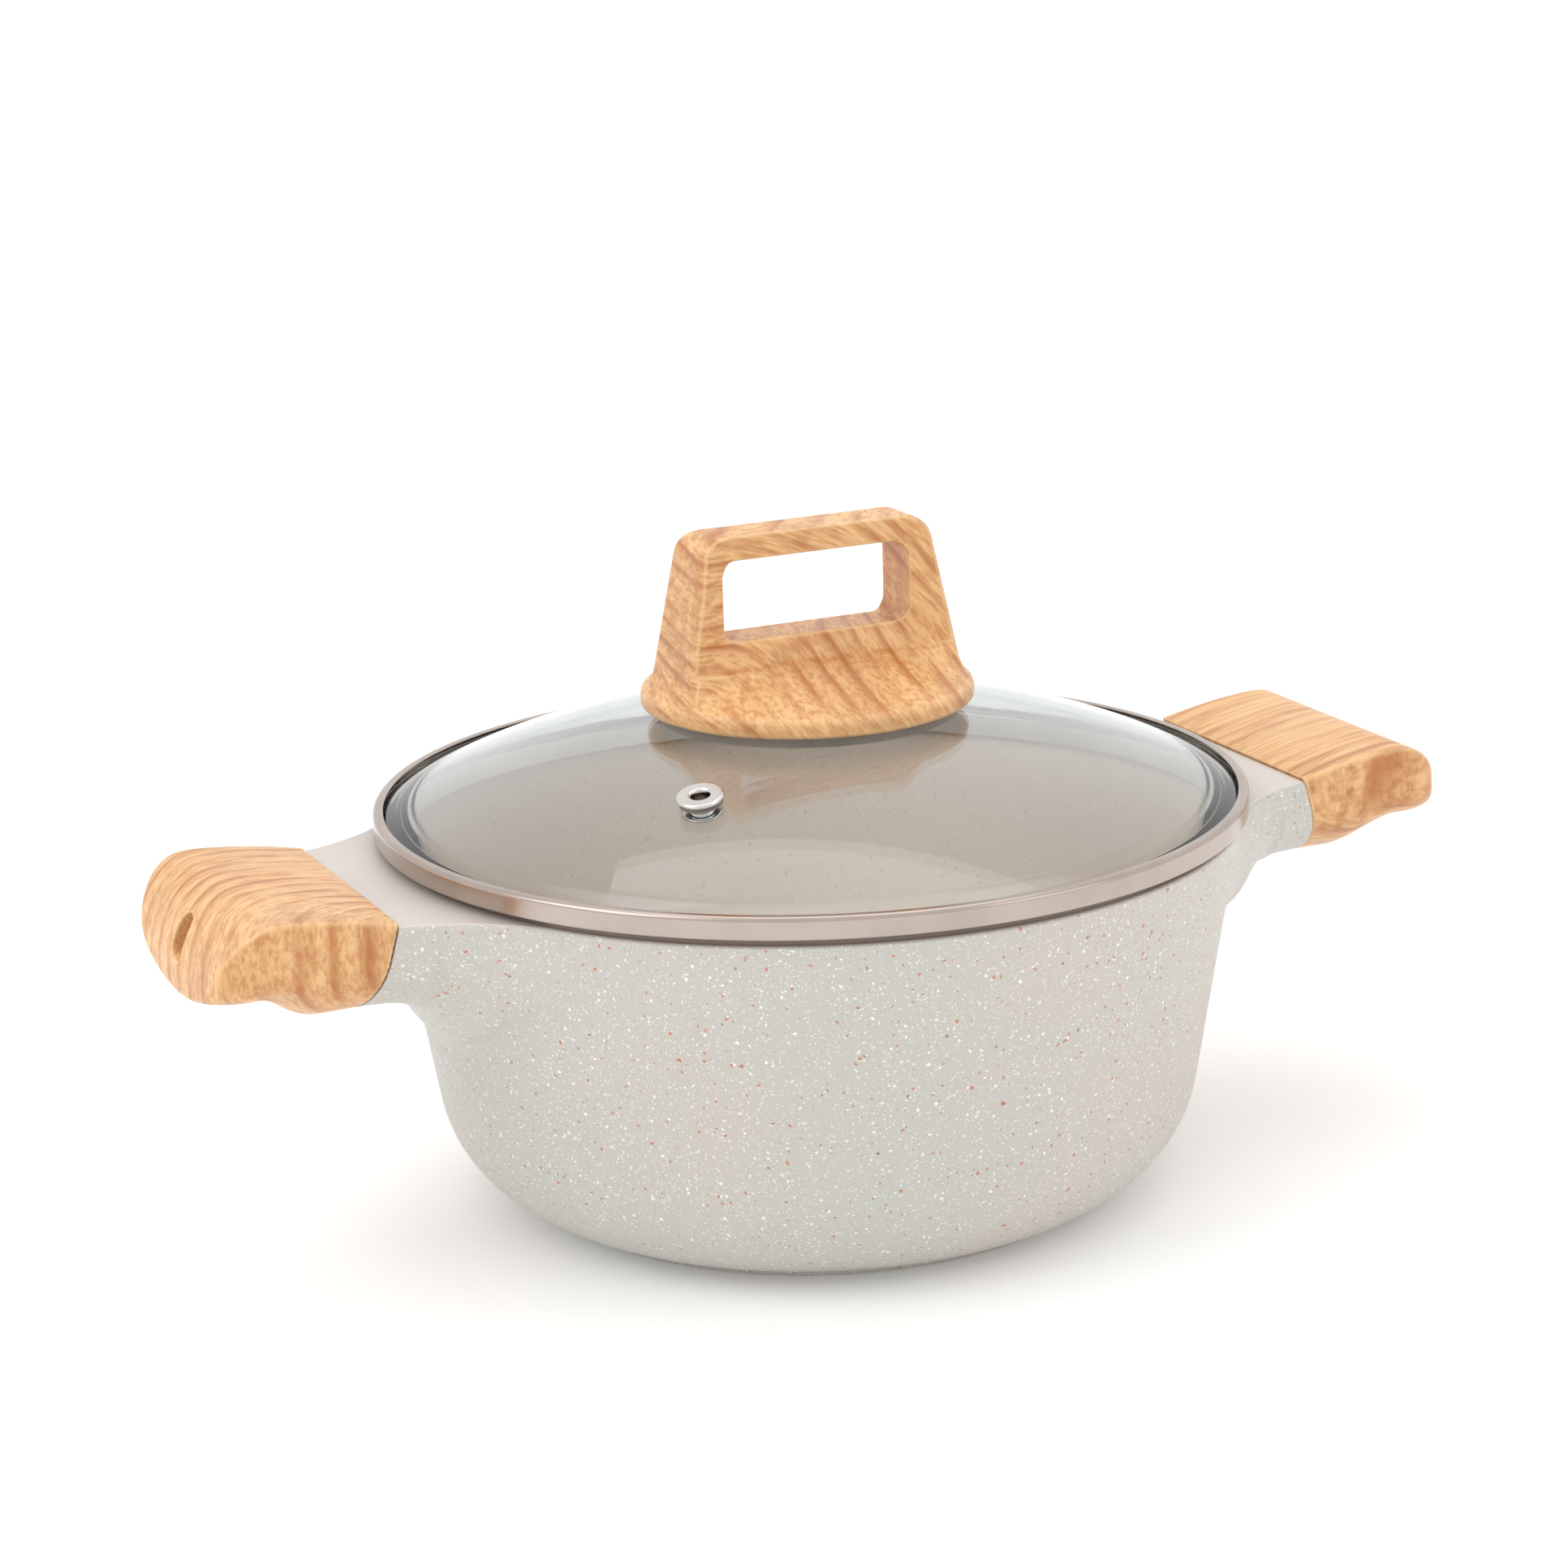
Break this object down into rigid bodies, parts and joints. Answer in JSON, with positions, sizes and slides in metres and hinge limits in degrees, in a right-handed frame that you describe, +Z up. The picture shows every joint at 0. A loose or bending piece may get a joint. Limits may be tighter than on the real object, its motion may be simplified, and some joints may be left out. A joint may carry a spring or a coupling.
{
  "type": "two-handled saucepan with glass lid",
  "caption": "Round coated saucepan with sloping walls, two wood-effect side handles, and a domed glass lid with a steel band, a steam vent and a wood-effect bridge grip.",
  "frame": {"origin": "middle of the base, on the surface the pot stands on", "axes": "+X along the two handles, +Z up, +Y across"},
  "size_m": [0.38, 0.25, 0.1938],
  "materials": {
    "coating": "satin speckled non-stick coating over cast aluminium",
    "base_steel": "brushed disc, fine concentric lines",
    "wood_effect": "wood-effect print on heat-resistant plastic",
    "band_steel": "satin rolled strip",
    "screw_steel": "plain zinc-plated screw",
    "tempered_glass": "clear tempered glass",
    "eyelet_steel": "polished",
    "silicone": "matt dark silicone",
    "brass": "turned threaded insert"
  },
  "bodies": {
    "pot": {"pot_body": "coating", "base_disc": "base_steel", "handle_sleeve_right": "wood_effect", "handle_sleeve_left": "wood_effect", "sleeve_screw_right": "screw_steel", "sleeve_screw_left": "screw_steel"},
    "lid": {"lid_glass": "tempered_glass", "lid_band": "band_steel", "vent_eyelet": "eyelet_steel", "vent_washer": "silicone", "lid_grip": "wood_effect", "grip_seat": "silicone", "grip_insert": "brass", "screw_gasket": "silicone", "screw_washer": "screw_steel", "lid_screw": "screw_steel"}
  },
  "joints": [
    {"name": "lid_lift", "type": "slide", "parent": "pot", "child": "lid", "axis": [0, 0, 1], "range_m": [0, 0.15]}
  ]
}
